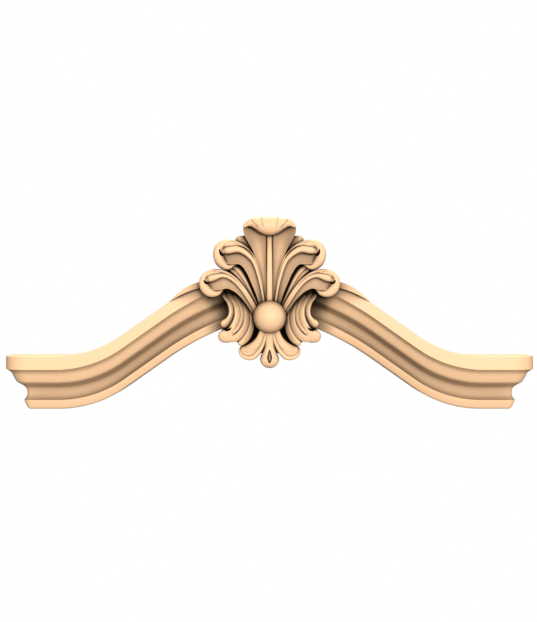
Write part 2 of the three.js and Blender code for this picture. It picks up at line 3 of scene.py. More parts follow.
import bpy
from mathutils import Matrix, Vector


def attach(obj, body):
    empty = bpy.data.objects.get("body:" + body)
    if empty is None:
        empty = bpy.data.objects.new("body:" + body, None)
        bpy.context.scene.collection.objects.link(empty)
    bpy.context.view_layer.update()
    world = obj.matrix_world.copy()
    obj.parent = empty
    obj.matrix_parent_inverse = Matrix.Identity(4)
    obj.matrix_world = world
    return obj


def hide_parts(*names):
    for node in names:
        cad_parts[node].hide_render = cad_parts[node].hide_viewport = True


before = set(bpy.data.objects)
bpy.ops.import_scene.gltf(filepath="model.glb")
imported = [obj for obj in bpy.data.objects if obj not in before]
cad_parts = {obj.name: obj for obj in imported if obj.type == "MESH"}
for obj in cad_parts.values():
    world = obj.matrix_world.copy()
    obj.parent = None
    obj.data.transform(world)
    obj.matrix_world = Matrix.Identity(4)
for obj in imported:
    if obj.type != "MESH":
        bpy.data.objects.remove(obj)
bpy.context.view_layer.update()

mm = 0.001

# Small helpers for picking, editing and finishing


def pick(*things):
    bpy.ops.object.select_all(action="DESELECT")
    for thing in things:
        thing.select_set(True)
    bpy.context.view_layer.objects.active = things[0]


def applyModifier(thing, kind, **settings):
    pick(thing)
    modifier = thing.modifiers.new(kind.title(), kind)
    for key, value in settings.items():
        setattr(modifier, key, value)
    bpy.ops.object.modifier_apply(modifier=modifier.name)


def closeAndTurnOut(thing):
    pick(thing)
    bpy.ops.object.mode_set(mode="EDIT")
    bpy.ops.mesh.select_all(action="SELECT")
    bpy.ops.mesh.remove_doubles(threshold=0.00001)
    bpy.ops.mesh.normals_make_consistent(inside=False)
    bpy.ops.object.mode_set(mode="OBJECT")


def fuse(whole, parts, operation):
    # Joins or cuts one part after another
    for part in parts:
        applyModifier(whole, "BOOLEAN", operation=operation, object=part, solver="MANIFOLD")
        bpy.data.objects.remove(part, do_unlink=True)


# Cornice moulding: its section is drawn once, run along the front and round the two corners,
# and each upright slice is then lifted to follow the arch.

moulding = {
    "width": 800 * mm,
    "depth": 80 * mm,
    "crownRise": 138 * mm,
    "levelRun": 42 * mm,
    "footCorner": 4.3 * mm,
    "edgeRound": 1.5 * mm,
    # height, step back, bow (minus is out to the front), cuts, for each member from the top
    "members": [
        (18.5, 0, 0, 3), (6.1, 8.6, 0.9, 4), (10.2, 5, -0.5, 6), (6.1, 6.6, -1.6, 6), (5.6, 8.6, 0.5, 4),
        (7.3, 2.4, 1.5, 6), (10.9, -3.5, 2.9, 8), (1.2, -1, -0.4, 3), (9.6, 4.2, -0.5, 5), (4, 3.8, -1.2, 6),
    ],
    "frontCuts": 180,
    "cornerCuts": 16,
    "archAspect": 0.4335,
    "footRadius": 0.54,
    "shoulderRadius": 1.28,
    "flightSlope": math.radians(35.2),
    "crownSlope": math.radians(17.3),
}


def mouldingSection():
    points = [(moulding["edgeRound"] * (1 - math.sin(a)), moulding["edgeRound"] * (1 - math.cos(a)))
              for a in (0, 0.4, 0.8, 1.2, math.pi / 2)]
    back, drop = points[-1]
    for height, step, bow, cuts in moulding["members"]:
        height, step, bow = height * mm, step * mm, bow * mm
        chord = math.hypot(height, step)
        midBack = back + step / 2 + bow * height / chord
        midDrop = drop + height / 2 - bow * step / chord
        for i in range(1, cuts + 1):
            t = i / cuts
            points.append((
                (1 - t) ** 2 * back + 2 * t * (1 - t) * midBack + t * t * (back + step),
                (1 - t) ** 2 * drop + 2 * t * (1 - t) * midDrop + t * t * (drop + height),
            ))
        back, drop = back + step, drop + height
    return points


section = mouldingSection()
mouldingHeight = section[-1][1]
cornerRadius = section[-1][0] + moulding["footCorner"]
archHalf = moulding["width"] / 2 - cornerRadius - moulding["levelRun"]


def archRise(x):
    foot, shoulder = moulding["footRadius"], moulding["shoulderRadius"]
    flight, crown = moulding["flightSlope"], moulding["crownSlope"]
    footRun, footClimb = foot * math.sin(flight), foot * (1 - math.cos(flight))
    shoulderRun = shoulder * (math.sin(flight) - math.sin(crown))
    shoulderClimb = shoulder * (math.cos(crown) - math.cos(flight))
    runLeft = 1 - footRun - shoulderRun
    climbLeft = moulding["archAspect"] - footClimb - shoulderClimb
    spread = math.cos(flight) * (1 - math.cos(crown)) - math.sin(flight) * math.sin(crown)
    straight = (runLeft * (1 - math.cos(crown)) - climbLeft * math.sin(crown)) / spread
    crownRadius = (math.cos(flight) * climbLeft - math.sin(flight) * runLeft) / spread
    straightEnd = footRun + straight * math.cos(flight)
    straightTop = footClimb + straight * math.sin(flight)
    t = 1 - min(abs(x) / archHalf, 1)
    if t < footRun:
        climb = foot - math.sqrt(foot * foot - t * t)
    elif t < straightEnd:
        climb = footClimb + (t - footRun) * math.tan(flight)
    elif t < straightEnd + shoulderRun:
        centreRun = straightEnd + shoulder * math.sin(flight)
        climb = straightTop - shoulder * math.cos(flight)
        climb += math.sqrt(shoulder ** 2 - (centreRun - t) ** 2)
    else:
        climb = moulding["archAspect"] - crownRadius + math.sqrt(max(crownRadius ** 2 - (1 - t) ** 2, 0))
    return climb / moulding["archAspect"] * moulding["crownRise"]


def topEdge(x):
    return mouldingHeight / 2 - moulding["crownRise"] + archRise(x)


def makeMoulding():
    # One grid sheet: across it lies the section, along it the run round the front
    turnX = moulding["width"] / 2 - cornerRadius
    turnY = cornerRadius - moulding["depth"]
    stops = [(-turnX, 0, 0.0)]
    for i in range(moulding["cornerCuts"] + 1):
        stops.append((-turnX, turnY, i / moulding["cornerCuts"] * math.pi / 2))
    for i in range(1, moulding["frontCuts"]):
        x = (2 * i / moulding["frontCuts"] - 1) * turnX
        stops.append((x, turnY, math.pi / 2))
    for i in range(moulding["cornerCuts"] + 1):
        stops.append((turnX, turnY, math.pi / 2 * (1 + i / moulding["cornerCuts"])))
    stops.append((turnX, 0, math.pi))
    across, along = len(section) - 1, len(stops) - 1
    bpy.ops.mesh.primitive_grid_add(x_subdivisions=across, y_subdivisions=along, size=1)
    piece = bpy.context.object
    piece.name = "corniceMoulding"
    for vertex in piece.data.vertices:
        column = round((vertex.co.x + 0.5) * across)
        row = round((vertex.co.y + 0.5) * along)
        back, drop = section[column]
        x, y, turn = stops[row]
        reach = cornerRadius - back
        vertex.co = (x - math.cos(turn) * reach, y - math.sin(turn) * reach, topEdge(x) - drop)
    # The rim of the sheet is drawn to the back line and closed with the flat back
    bpy.ops.object.mode_set(mode="EDIT")
    bpy.ops.mesh.select_all(action="SELECT")
    bpy.ops.mesh.region_to_loop()
    bpy.ops.mesh.extrude_region_move()
    bpy.ops.object.mode_set(mode="OBJECT")
    for vertex in piece.data.vertices:
        if vertex.select:
            x = max(-turnX, min(turnX, vertex.co.x))
            vertex.co = (x, 0, vertex.co.z)
    bpy.ops.object.mode_set(mode="EDIT")
    bpy.ops.mesh.edge_face_add()
    bpy.ops.object.mode_set(mode="OBJECT")
    closeAndTurnOut(piece)
    return piece


mouldingPiece = makeMoulding()
print("moulding", len(mouldingPiece.data.vertices))

# The raised lip on each arm: a thin crescent on the top edge, proud of the band

lip = {
    "tip": 149 * mm,
    "root": 95 * mm,
    "aboveEdge": 5.8 * mm,
    "belowEdge": 8.2 * mm,
    "tipHalfWidth": 0.2 * mm,
    "proud": 4 * mm,
    "thickness": 16 * mm,
    "cuts": 48,
    "facets": 12,
}


def makeLip(side):
    facets, cuts = lip["facets"], lip["cuts"]
    bpy.ops.mesh.primitive_grid_add(x_subdivisions=facets, y_subdivisions=cuts, size=1)
    piece = bpy.context.object
    for vertex in piece.data.vertices:
        across = 2 * vertex.co.x
        share = vertex.co.y + 0.5
        x = lip["tip"] + (lip["root"] - lip["tip"]) * share
        above = lip["aboveEdge"] * 4 * share * (1 - share) + lip["tipHalfWidth"]
        below = lip["belowEdge"] * share * share + lip["tipHalfWidth"]
        width = above + below
        centre = topEdge(x) + (above - below) / 2
        swell = lip["proud"] * min(1, share * 3) * (0.6 - 0.4 * across)
        vertex.co = (side * x, -moulding["depth"] - swell + 0.2 * mm, centre + across * width / 2)
    bpy.ops.object.mode_set(mode="EDIT")
    bpy.ops.mesh.select_all(action="SELECT")
    bpy.ops.mesh.region_to_loop()
    bpy.ops.mesh.extrude_region_move()
    bpy.ops.object.mode_set(mode="OBJECT")
    for vertex in piece.data.vertices:
        if vertex.select:
            vertex.co.y = lip["thickness"] - moulding["depth"]
    bpy.ops.object.mode_set(mode="EDIT")
    bpy.ops.mesh.edge_face_add()
    bpy.ops.object.mode_set(mode="OBJECT")
    closeAndTurnOut(piece)
    return piece


fuse(mouldingPiece, [makeLip(1), makeLip(-1)], "UNION")
print("moulding done", len(mouldingPiece.data.polygons))

# Carving: strokes are drawn on squared paper, 152 squares high, with the boss centre as zero.
# Each row of a stroke is across, up, half width and height of relief, from tip to stem.

carving = {
    "height": 223 * mm,
    "bossBelowCrown": 39 * mm,
    "seatDepth": 30 * mm,
    "seatTop": 2,
    "foot": 0.6,
    "pocketFloor": -18,
    "cutFront": 40,
    "gap": 0.35 * mm,
}
square = carving["height"] / 152


def inPlace(across, up, relief):
    return (across * square, -moulding["depth"] - relief * square, up * square - carving["bossBelowCrown"])


def rowAt(rows, share):
    # A smooth curve through the drawn rows, in place, width and relief together
    spot = share * (len(rows) - 1)
    i = min(int(spot), len(rows) - 2)
    w = spot - i
    p1, p2 = Vector(rows[i]), Vector(rows[i + 1])
    p0 = Vector(rows[i - 1]) if i > 0 else p1 * 2 - p2
    p3 = Vector(rows[i + 2]) if i + 2 < len(rows) else p2 * 2 - p1
    d0, d1, d2 = ((b - a).length ** 0.5 for a, b in ((p0, p1), (p1, p2), (p2, p3)))
    t1 = ((p1 - p0) / d0 - (p2 - p0) / (d0 + d1) + (p2 - p1) / d1) * d1
    t2 = ((p2 - p1) / d1 - (p3 - p1) / (d1 + d2) + (p3 - p2) / d2) * d1
    bend = (p2 - p1) * 3 - t1 * 2 - t2
    twist = (p1 - p2) * 2 + t1 + t2
    return p1 + t1 * w + bend * w * w + twist * w ** 3


def directionAt(rows, share):
    step = 0.002
    ahead = rowAt(rows, min(share + step, 1))
    behind = rowAt(rows, max(share - step, 0))
    along = Vector((ahead[0] - behind[0], ahead[1] - behind[1]))
    return along.normalized()


def topAcross(kind, u, halfWidth):
    # Height of the top across a stroke, u from -1 to 1; a feather falls away to its inner side
    dome = 1 - math.sqrt(max(1 - u * u, 0))
    inner = (u + 1) / 2
    return {
        "round": -0.85 * halfWidth * dome,
        "soft": -0.5 * halfWidth * dome,
        "hollow": -0.5 * halfWidth * (1 - u * u),
        "scoop": -0.36 * halfWidth * (1 - u * u) - 0.16 * halfWidth * (1 - u),
        "feather": -halfWidth * (0.45 * max(1 - inner / 0.3, 0) ** 2 + 0.85 * inner ** 1.6),
        "cut": 12 * abs(u),
        "level": 0,
    }[kind]


def stroke(rows, side=1, kind="round", foot=None, lean=1, tip=8, stem=0, along=30, across=12):
    # One carved stroke: a grid sheet laid over the rows, its rim drawn back to the foot and closed.
    # A cut spreads to six half widths at its open side.
    foot = carving["foot"] if foot is None else foot
    spread = 6 if kind == "cut" else 1
    stations = []
    for i in range(tip):
        turn = math.pi / 2 * (1 - (i + 0.3) / (tip + 0.3))
        stations.append((0, -math.sin(turn), math.cos(turn)))
    stations += [(i / along, 0, 1) for i in range(along + 1)]
    for i in range(stem):
        turn = math.pi / 2 * (i + 1) / (stem + 0.3)
        stations.append((1, math.sin(turn), math.cos(turn)))
    last = len(stations) - 1
    bpy.ops.mesh.primitive_grid_add(x_subdivisions=across, y_subdivisions=last, size=1)
    piece = bpy.context.object
    slices = []
    for share, reach, scale in stations:
        acrossAt, upAt, width, high = rowAt(rows, share)
        ahead = directionAt(rows, share)
        centre = Vector((acrossAt, upAt)) + ahead * width * reach
        droop = 0.85 * width * (1 - scale)
        turnIn = 0.6 + 0.4 * min(share / 0.2, 1)
        slices.append((centre, Vector((-ahead.y, ahead.x)), width * scale, high - droop, turnIn))
    feet = {}
    for vertex in piece.data.vertices:
        column = round((vertex.co.x + 0.5) * across)
        centre, sideways, width, high, turnIn = slices[round((vertex.co.y + 0.5) * last)]
        u = -math.cos(column / across * math.pi) if kind in ("round", "soft") else 2 * column / across - 1
        top = topAcross(kind, u, width)
        if kind == "feather":
            top = turnIn * top + (1 - turnIn) * topAcross("round", u, width)
        spot = centre + sideways * (u * width * spread)
        footSpot = centre + sideways * (u * width * spread * lean)
        vertex.co = inPlace(side * spot.x, spot.y, high + top)
        feet[tuple(round(c, 7) for c in vertex.co)] = inPlace(side * footSpot.x, footSpot.y, foot)
    bpy.ops.object.mode_set(mode="EDIT")
    bpy.ops.mesh.select_all(action="SELECT")
    bpy.ops.mesh.region_to_loop()
    bpy.ops.mesh.extrude_region_move()
    bpy.ops.object.mode_set(mode="OBJECT")
    for vertex in piece.data.vertices:
        if vertex.select:
            vertex.co = feet[tuple(round(c, 7) for c in vertex.co)]
    bpy.ops.object.mode_set(mode="EDIT")
    bpy.ops.mesh.edge_face_add()
    bpy.ops.object.mode_set(mode="OBJECT")
    closeAndTurnOut(piece)
    return piece


def bothSides(rows, **settings):
    return [stroke(rows, side, **settings) for side in (1, -1)]


def block(outline, low, high):
    # An upright block over an outline, between two levels of relief
    bpy.ops.mesh.primitive_circle_add(vertices=len(outline), fill_type="NGON")
    piece = bpy.context.object
    for vertex, (across, up) in zip(piece.data.vertices, outline):
        vertex.co = inPlace(across, up, low)
    bpy.ops.object.mode_set(mode="EDIT")
    bpy.ops.mesh.select_all(action="SELECT")
    bpy.ops.mesh.extrude_region_move(TRANSFORM_OT_translate={"value": (0, (low - high) * square, 0)})
    bpy.ops.object.mode_set(mode="OBJECT")
    closeAndTurnOut(piece)
    return piece


def mirrored(outline):
    return [(-across, up) for across, up in reversed(outline)]


# The volute leaves: a rolled rim, two ribs and a scoop, over a soft bed and round a dark eye

upperVolute = {
    "bed": [
        (50, 64, 2.6, 11.5), (48, 69.6, 2.8, 16), (43, 71.6, 3, 17.4), (36.5, 71.8, 3, 17),
        (31.6, 70.6, 2.4, 15.6), (27.2, 68.2, 2.2, 14), (22.6, 64.6, 2, 14), (18.8, 60.5, 1.8, 14),
        (15.8, 55.6, 1.6, 14), (13.4, 48.8, 1.5, 14), (9.4, 33.2, 1.3, 13.5), (6, 14, 1.2, 12),
    ],
    "rim": [
        (34, 73.6, 2.8, 14.5), (39.5, 73.9, 3.6, 16.5), (45.5, 73, 3.9, 18), (50.1, 69.2, 4.3, 19),
        (51.7, 62.6, 4.6, 19.2), (49.5, 56.1, 5.2, 18), (46.4, 52.4, 4.7, 16.6), (43, 50.2, 3.7, 15.6),
        (39.8, 50.4, 2.9, 15), (37, 51.9, 2.1, 14.8), (34.4, 53.2, 1.4, 14.6), (31.5, 53.9, 0.8, 14.2),
    ],
    "outerRib": [
        (36.3, 73.2, 2.6, 15.5), (30.2, 72, 2.6, 15.5), (25.4, 69.3, 2.3, 15.5), (20.9, 65.4, 2.1, 15.5),
        (16.5, 60, 1.9, 15.5), (13.3, 53.5, 1.7, 15.5), (10.9, 45.6, 1.6, 15), (8.6, 34.6, 1.4, 15),
        (5.6, 14, 1.3, 13),
    ],
    "fingerRib": [
        (46, 65.9, 3.2, 17.5), (43, 66.3, 3.7, 19), (38.7, 66.8, 3.7, 19.5), (34, 67.4, 3.4, 19),
        (29.9, 67, 3.2, 18.5), (25.7, 65, 2.9, 18), (21.2, 61.6, 2.5, 17.5), (16.9, 56.8, 2.1, 17),
        (13.6, 49.8, 1.8, 16.5), (10.7, 39.8, 1.5, 16), (8.2, 29.2, 1.3, 15), (5.1, 12.2, 1.2, 13),
    ],
    "scoop": [
        (46.5, 57.2, 5, 15), (41.3, 58.3, 6, 15.6), (36.5, 59, 6.6, 16), (31.4, 59.3, 6.6, 16),
        (26.6, 57.7, 6.3, 16), (22.1, 53.8, 6, 15.8), (19, 49, 5.8, 15.6), (16.4, 43.4, 5.4, 15.4),
        (13.6, 35.6, 4.9, 15), (10.6, 27.2, 4.4, 14.4), (8.6, 19.8, 3.8, 13.4), (6.8, 12, 3.2, 12.4),
    ],
    "eye": [
        (49.8, 67.4, 0.25, 14.5), (48.6, 63.4, 0.4, 12), (46.7, 61.5, 0.45, 11.5), (44.6, 62, 0.35, 12.5),
        (42.4, 62.4, 0.2, 13.5),
    ],
}
lowerVolute = {
    "bed": [
        (66, 34, 2, 11.5), (65, 38.6, 2.2, 16), (61.7, 41.6, 2.6, 16.8), (57.4, 42.9, 2.6, 16.6),
        (50.2, 43.6, 2.2, 15.6), (43.6, 42.4, 2, 14), (38.6, 39.5, 1.8, 14), (33.6, 35.2, 1.7, 14),
        (28.6, 29.5, 1.5, 14), (24.3, 23.7, 1.4, 14), (19.8, 17, 1.3, 13.5), (13.5, 7.5, 1.1, 12),
    ],
    "rim": [
        (51, 45.6, 2.4, 14.5), (57.8, 44.8, 2.8, 16), (62.4, 42.9, 2.8, 17), (65.6, 39.3, 3.1, 18),
        (66.5, 33.7, 3.8, 18.2), (63.7, 28.3, 5.1, 17.6), (59.3, 24.8, 4.7, 16.6), (54.9, 24.1, 4, 15.8),
        (51.4, 24.8, 3.1, 15.2), (48.9, 26.6, 2.2, 15), (46.7, 28.6, 1.4, 14.8), (44, 29.4, 0.8, 14.4),
    ],
    "outerRib": [
        (54.5, 45.4, 2.3, 15), (49.3, 45.4, 2.3, 15.5), (42.8, 43.5, 2.1, 15.5), (37.6, 40.2, 2.1, 15.5),
        (32.6, 36.1, 2.1, 15.5), (28, 30.7, 2, 15.5), (23.4, 24.6, 1.8, 15.5), (19.1, 18.2, 1.5, 15),
        (13.2, 8, 1.3, 13.5),
    ],
    "fingerRib": [
        (62.1, 37.2, 2.8, 17), (59.9, 37.8, 3.5, 18.5), (56.7, 38.9, 3.5, 19), (53, 40, 3, 18.5),
        (49.7, 41, 2.5, 18), (45.6, 41.2, 2.1, 17.5), (41.5, 40, 1.9, 17), (37.4, 37.7, 1.8, 17),
        (33.1, 34.1, 1.7, 16.5), (28.4, 28.6, 1.6, 16), (24, 22.5, 1.5, 15.5), (19.9, 16, 1.4, 15),
        (14, 6.2, 1.3, 13.5),
    ],
    "scoop": [
        (59.5, 30.8, 4.4, 15.4), (54.5, 31.8, 5.4, 16.2), (50, 33, 6.2, 16.6), (45.5, 34, 5.9, 16.6),
        (41, 33.6, 5.4, 16.2), (36.8, 31.3, 4.5, 15.8), (32.7, 28.2, 3.7, 15.4), (28.1, 23.6, 3.1, 15),
        (24, 18.5, 2.7, 14.5), (20.3, 12.8, 2.4, 14), (15, 3.5, 2, 12.8),
    ],
    "eye": [
        (65.4, 36.8, 0.25, 14.5), (64, 34.5, 0.4, 12), (61.8, 33.6, 0.45, 11.5), (59.2, 34.5, 0.35, 12.5),
        (57.1, 35.3, 0.2, 13.5),
    ],
}


def voluteLeaf(leaf):
    return [
        *bothSides(leaf["bed"], kind="soft", along=32, across=6),
        *bothSides(leaf["rim"], lean=0.85, stem=8, along=48, across=16),
        *bothSides(leaf["outerRib"], along=40, across=8),
        *bothSides(leaf["fingerRib"], along=48),
        *bothSides(leaf["scoop"], kind="scoop", tip=6, along=44),
    ]


# Narrow strokes: the ribbon between the volutes, the fan of scroll ribs, the lobe below

ribbon = [
    [(35.1, 49.6, 2.7, 12), (31.4, 46.3, 3.1, 13), (27.5, 41.3, 2.8, 13), (23.6, 34.6, 2.3, 13),
     (19.7, 26.7, 1.9, 12.6), (15.9, 18.6, 1.6, 11.6), (11, 9.2, 1.4, 10.5)],
    [(38.6, 46.9, 1.8, 11.8), (33.8, 43.1, 2.4, 12.4), (29.2, 37.6, 2.3, 12.4), (24.5, 30.9, 2, 12.2),
     (20.1, 24.1, 1.7, 11.8), (15.7, 16.5, 1.5, 11), (11.5, 8.2, 1.3, 10)],
]
ribbonBed = [
    (34.9, 47.3, 3, 10.6), (30.3, 42.4, 3, 11.3), (26.1, 36.4, 2.7, 11.3), (21.8, 28.5, 2.3, 11),
    (15.9, 17.6, 1.8, 9.5), (11.1, 8.6, 1.5, 9),
]
scrollRibs = [
    [(44.8, -6.9, 4.2, 14), (41.2, -4.6, 4.1, 14.3), (38.2, 0.4, 3.4, 14), (37.6, 6.4, 3, 13),
     (38.8, 11.5, 2.7, 11.5), (41, 16.1, 2.4, 9.5), (44.2, 19.7, 2, 7.5), (46.7, 22.8, 1.3, 6)],
    [(45.1, -19.2, 6.4, 15.5), (41.2, -18.6, 6.9, 15.8), (37.5, -14.4, 5.2, 16), (35, -8.4, 3.6, 16),
     (32.8, -3.2, 3.4, 15.8), (31.7, 2.5, 3.4, 14.8), (32.3, 8.8, 3.2, 13), (34.8, 14.6, 2.8, 10.5),
     (38.1, 19.4, 2.3, 8), (42.1, 23.8, 1.5, 5)],
    [(36, -15.3, 1.6, 14.6), (31.5, -10.4, 1.9, 14.6), (28.4, -4.2, 1.9, 14), (27.3, 2.6, 1.9, 13),
     (28.2, 9, 1.8, 11.5), (31.1, 15.8, 1.7, 9), (35.5, 21.8, 1.4, 6)],
    [(40, -20.8, 3.6, 13.6), (35.8, -21, 4.2, 13.8), (30.9, -18.2, 4.1, 14), (26.5, -13.2, 3.8, 14),
     (23.5, -7.4, 3.8, 13.6), (22.5, -1.2, 3.7, 12.8), (22.9, 4.6, 3.3, 11.6), (25.4, 11.6, 2.6, 9.5),
     (30.1, 18.8, 2, 6)],
    [(28.5, -25.8, 3.2, 11.4), (24.9, -22.6, 3.6, 11.8), (21.4, -17.8, 3.4, 12.2),
     (19, -12.4, 2.9, 12.2), (17.8, -6.4, 2.3, 11.8), (17.6, -0.4, 2, 11), (18.7, 5.6, 1.6, 9.5),
     (21, 11.2, 1.3, 7)],
]
fanBed = [
    (36.5, -16.4, 6.2, 10.5), (31.5, -11, 7, 10.5), (28.4, -4.4, 8, 10), (27.6, 2.6, 8.2, 9.3),
    (28.9, 9, 7.4, 8), (31.5, 14.8, 5.8, 6), (36, 20, 4.5, 4),
]
fanBack = [(45.4, -12.6, 3.2, 4), (42, -12.8, 3.6, 4.6), (38, -11.4, 3.6, 6)]
lobeBody = [
    (25.4, -33.4, 5.2, 8.2), (21.2, -32.9, 5.6, 9.8), (16.4, -30.7, 5.6, 11.4), (12.1, -26.8, 5.2, 12.8),
    (9.3, -21.9, 4.3, 13.8), (7.4, -15.8, 3.3, 14.8), (6, -9.8, 2.7, 15),
]
lobeRim = [
    (29.9, -32.6, 1.1, 7.5), (29.2, -36.4, 1.7, 8.6), (26.2, -39.3, 2.1, 9.4), (21.3, -40.8, 2.4, 10.4),
    (16.5, -40.1, 2.6, 11.4), (12.6, -36.7, 2.5, 12.2), (8.7, -31.3, 2.3, 13), (6.1, -25.8, 2.1, 13.8),
    (4.3, -19.8, 2, 14.6), (3.5, -9.8, 1.7, 15),
]
lobeBed = [
    (27.9, -34.6, 2.4, 7.7), (24.8, -37.2, 3, 8.6), (20.8, -37.8, 3.2, 9.4), (15.8, -36, 3.4, 10.5),
    (11.8, -32, 2.8, 11.4), (8.6, -26, 2.2, 12), (5.8, -19, 2, 12.8), (4.6, -10, 1.8, 13.2),
]
backLobe = [(29.3, 76.6, 5, 12), (24, 75, 6.2, 11.5), (19.5, 70, 6, 10.5), (16.5, 64, 4.5, 9.5)]

# The tall leaf with its curled cap, the drop, and the boss

leafHollow = [
    (14.9, 89, 11.4, 20), (14.8, 86.2, 11.4, 19.5), (14.2, 82.8, 10.6, 18.5), (12.9, 78, 9.3, 17),
    (11.1, 71.5, 7.6, 16), (9.6, 64.6, 6, 14.8), (8.2, 57.4, 4.6, 14), (7.1, 50.8, 3.5, 13.6),
    (6, 43, 2.6, 13.4), (5.3, 35.2, 2, 13.4), (4.6, 26.2, 1.6, 13), (4.1, 12.2, 1.4, 12),
]
leafRib = [(0, 89, 5.5, 18), (0, 79, 4, 16), (0, 65, 3, 15), (0, 36, 3, 15.5), (0, 12, 2.8, 15)]
cap = [
    (-24.5, 90.2, 1.7, 20.5), (-22, 92.2, 2.8, 21.5), (-17.5, 93.4, 4.5, 23), (-12.5, 92.7, 6.3, 24.5),
    (-6.5, 91.4, 8.7, 26), (0, 90.6, 9.9, 26.5), (6.5, 91.4, 8.7, 26), (12.5, 92.7, 6.3, 24.5),
    (17.5, 93.4, 4.5, 23), (22, 92.2, 2.8, 21.5), (24.5, 90.2, 1.7, 20.5),
]
capBed = [(-19, 91, 3.5, 14), (0, 92, 6, 15), (19, 91, 3.5, 14)]
drop = [
    (0, -41.8, 9.6, 12.8), (0, -38, 8.4, 13), (0, -33.6, 6.2, 13.4), (0, -29.4, 4.8, 13.8),
    (0, -23.6, 4.7, 14.4), (0, -17, 5.2, 15), (0, -9.8, 5.4, 15),
]
boss = {"radius": 16.7, "stand": 10.8, "segments": 96, "rings": 48}

seatOutline = [
    (0, 87), (15, 87), (19, 76), (31, 72.5), (44, 68), (49, 60), (45, 50.5), (46, 40), (52, 36),
    (60, 35.5), (61.5, 30), (56, 26), (44, 27), (40, 20), (35.5, 12), (35.5, 0), (41.5, -8), (43, -19),
    (37, -23.5), (27, -28), (25.5, -36), (15, -39), (7, -36), (6, -44), (0, -47),
]
pocketOutline = [
    (16.3, -5.8), (10.1, -12.8), (10.5, -15.6), (12.5, -20.6), (16.1, -24.8), (20.5, -28.4), (26, -30.6),
    (24.5, -28.2), (21, -23.2), (18.1, -18.2), (16.3, -12.5),
]

# Fine cuts, and the ridge that stands in the drop's cut

capFlutes = [
    [(18.7, 97.7, 3.2, 20.3), (15.8, 93.4, 3.2, 23.1), (12.8, 90.3, 3, 23.6), (10.6, 88.4, 2.6, 24.2)],
    [(8.7, 99.5, 3.2, 20.6), (7.6, 94.1, 3.2, 25), (6.8, 90.3, 3, 25.6), (6.3, 88.2, 2.6, 25.6)],
]
leafCrease = [
    (33, 71, 0.5, 15.4), (27.5, 70.2, 0.9, 14.4), (23.1, 67.7, 0.9, 14.2), (18.6, 63.4, 0.9, 14.2),
    (15.4, 58.4, 0.6, 14.6),
]
fanCrease = [
    (40.4, -21.2, 0.2, 14.6), (37.4, -19.6, 0.4, 13.2), (33.8, -16.8, 0.4, 12.6),
    (30.3, -12.5, 0.4, 12.4), (27.4, -6.8, 0.3, 12.4),
]
slit = [
    (46.6, -11.5, 0.5, 5), (44.6, -12.5, 1, 3.6), (42.2, -12.9, 1.3, 3.6), (40, -12.2, 1.1, 3.6),
    (38.2, -10.6, 0.5, 6),
]
dropCut = [(0, -44.4, 1.5, 10.6), (0, -41, 2.6, 10.4), (0, -37, 1.9, 10.8), (0, -32.6, 0.6, 11.6)]
dropRidge = [(0, -44, 0.5, 11), (0, -40.5, 1, 11.3), (0, -34, 0.3, 11.3)]


def makeBoss():
    radius = boss["radius"] * square
    bpy.ops.mesh.primitive_uv_sphere_add(segments=boss["segments"], ring_count=boss["rings"], radius=radius)
    ball = bpy.context.object
    centre = Vector(inPlace(0, 0, boss["stand"]))
    for vertex in ball.data.vertices:
        x, y, z = vertex.co
        vertex.co = centre + Vector((x, -z, y))
    closeAndTurnOut(ball)
    return ball


def makeCartouche():
    seat = seatOutline + mirrored(seatOutline)[1:-1]
    whole = block(seat, -carving["seatDepth"] / square, carving["seatTop"])
    strokes = [*voluteLeaf(upperVolute), *voluteLeaf(lowerVolute)]
    for rows in (ribbonBed, fanBed, fanBack, lobeBed):
        strokes += bothSides(rows, kind="level", tip=6, along=16, across=2)
    for rows in ribbon:
        strokes += bothSides(rows, across=8)
    for rows in scrollRibs:
        strokes += bothSides(rows, kind="feather", along=40, across=14)
    strokes += bothSides(lobeBody, kind="soft")
    strokes += bothSides(lobeRim)
    strokes += bothSides(backLobe, kind="soft", along=16)
    strokes += bothSides(leafHollow, kind="hollow", tip=0, along=40, across=20)
    strokes += [
        stroke(leafRib, kind="soft", tip=0, across=12),
        stroke(cap, tip=10, stem=10, along=64, across=20, foot=12),
        stroke(capBed, kind="level", tip=6, stem=6, along=20, across=4),
        stroke(drop, kind="soft", tip=12, across=16),
        makeBoss(),
    ]
    print("strokes drawn", len(strokes))
    fuse(whole, strokes, "UNION")
    cuts = []
    for rows in (*capFlutes, upperVolute["eye"], lowerVolute["eye"], leafCrease, fanCrease):
        cuts += bothSides(rows, kind="cut", foot=carving["cutFront"], tip=0, along=20, across=4)
    cuts += bothSides(slit, kind="level", foot=carving["cutFront"], tip=4, stem=4, along=16, across=2)
    cuts.append(stroke(dropCut, kind="level", foot=carving["cutFront"], tip=6, along=16, across=4))
    for outline in (pocketOutline, mirrored(pocketOutline)):
        cuts.append(block(outline, carving["pocketFloor"], carving["seatTop"] + 1))
    fuse(whole, cuts, "DIFFERENCE")
    fuse(whole, [stroke(dropRidge, kind="soft", foot=8, tip=3, along=16, across=6)], "UNION")
    whole.name = "acanthusCartouche"
    return whole


def clearOf(piece, other, gap):
    # Cuts a piece back to stand a hair's breadth off another
    pick(other)
    bpy.ops.object.duplicate()
    grown = bpy.context.object
    applyModifier(grown, "DISPLACE", strength=gap, mid_level=0)
    fuse(piece, [grown], "DIFFERENCE")


cartouchePiece = makeCartouche()
clearOf(cartouchePiece, mouldingPiece, carving["gap"])
print("cartouche done", len(cartouchePiece.data.polygons))

for piece in (mouldingPiece, cartouchePiece):
    pick(piece)
    bpy.ops.object.shade_smooth_by_angle(angle=math.radians(38))

# Camera at the photograph's place: level, square to the front

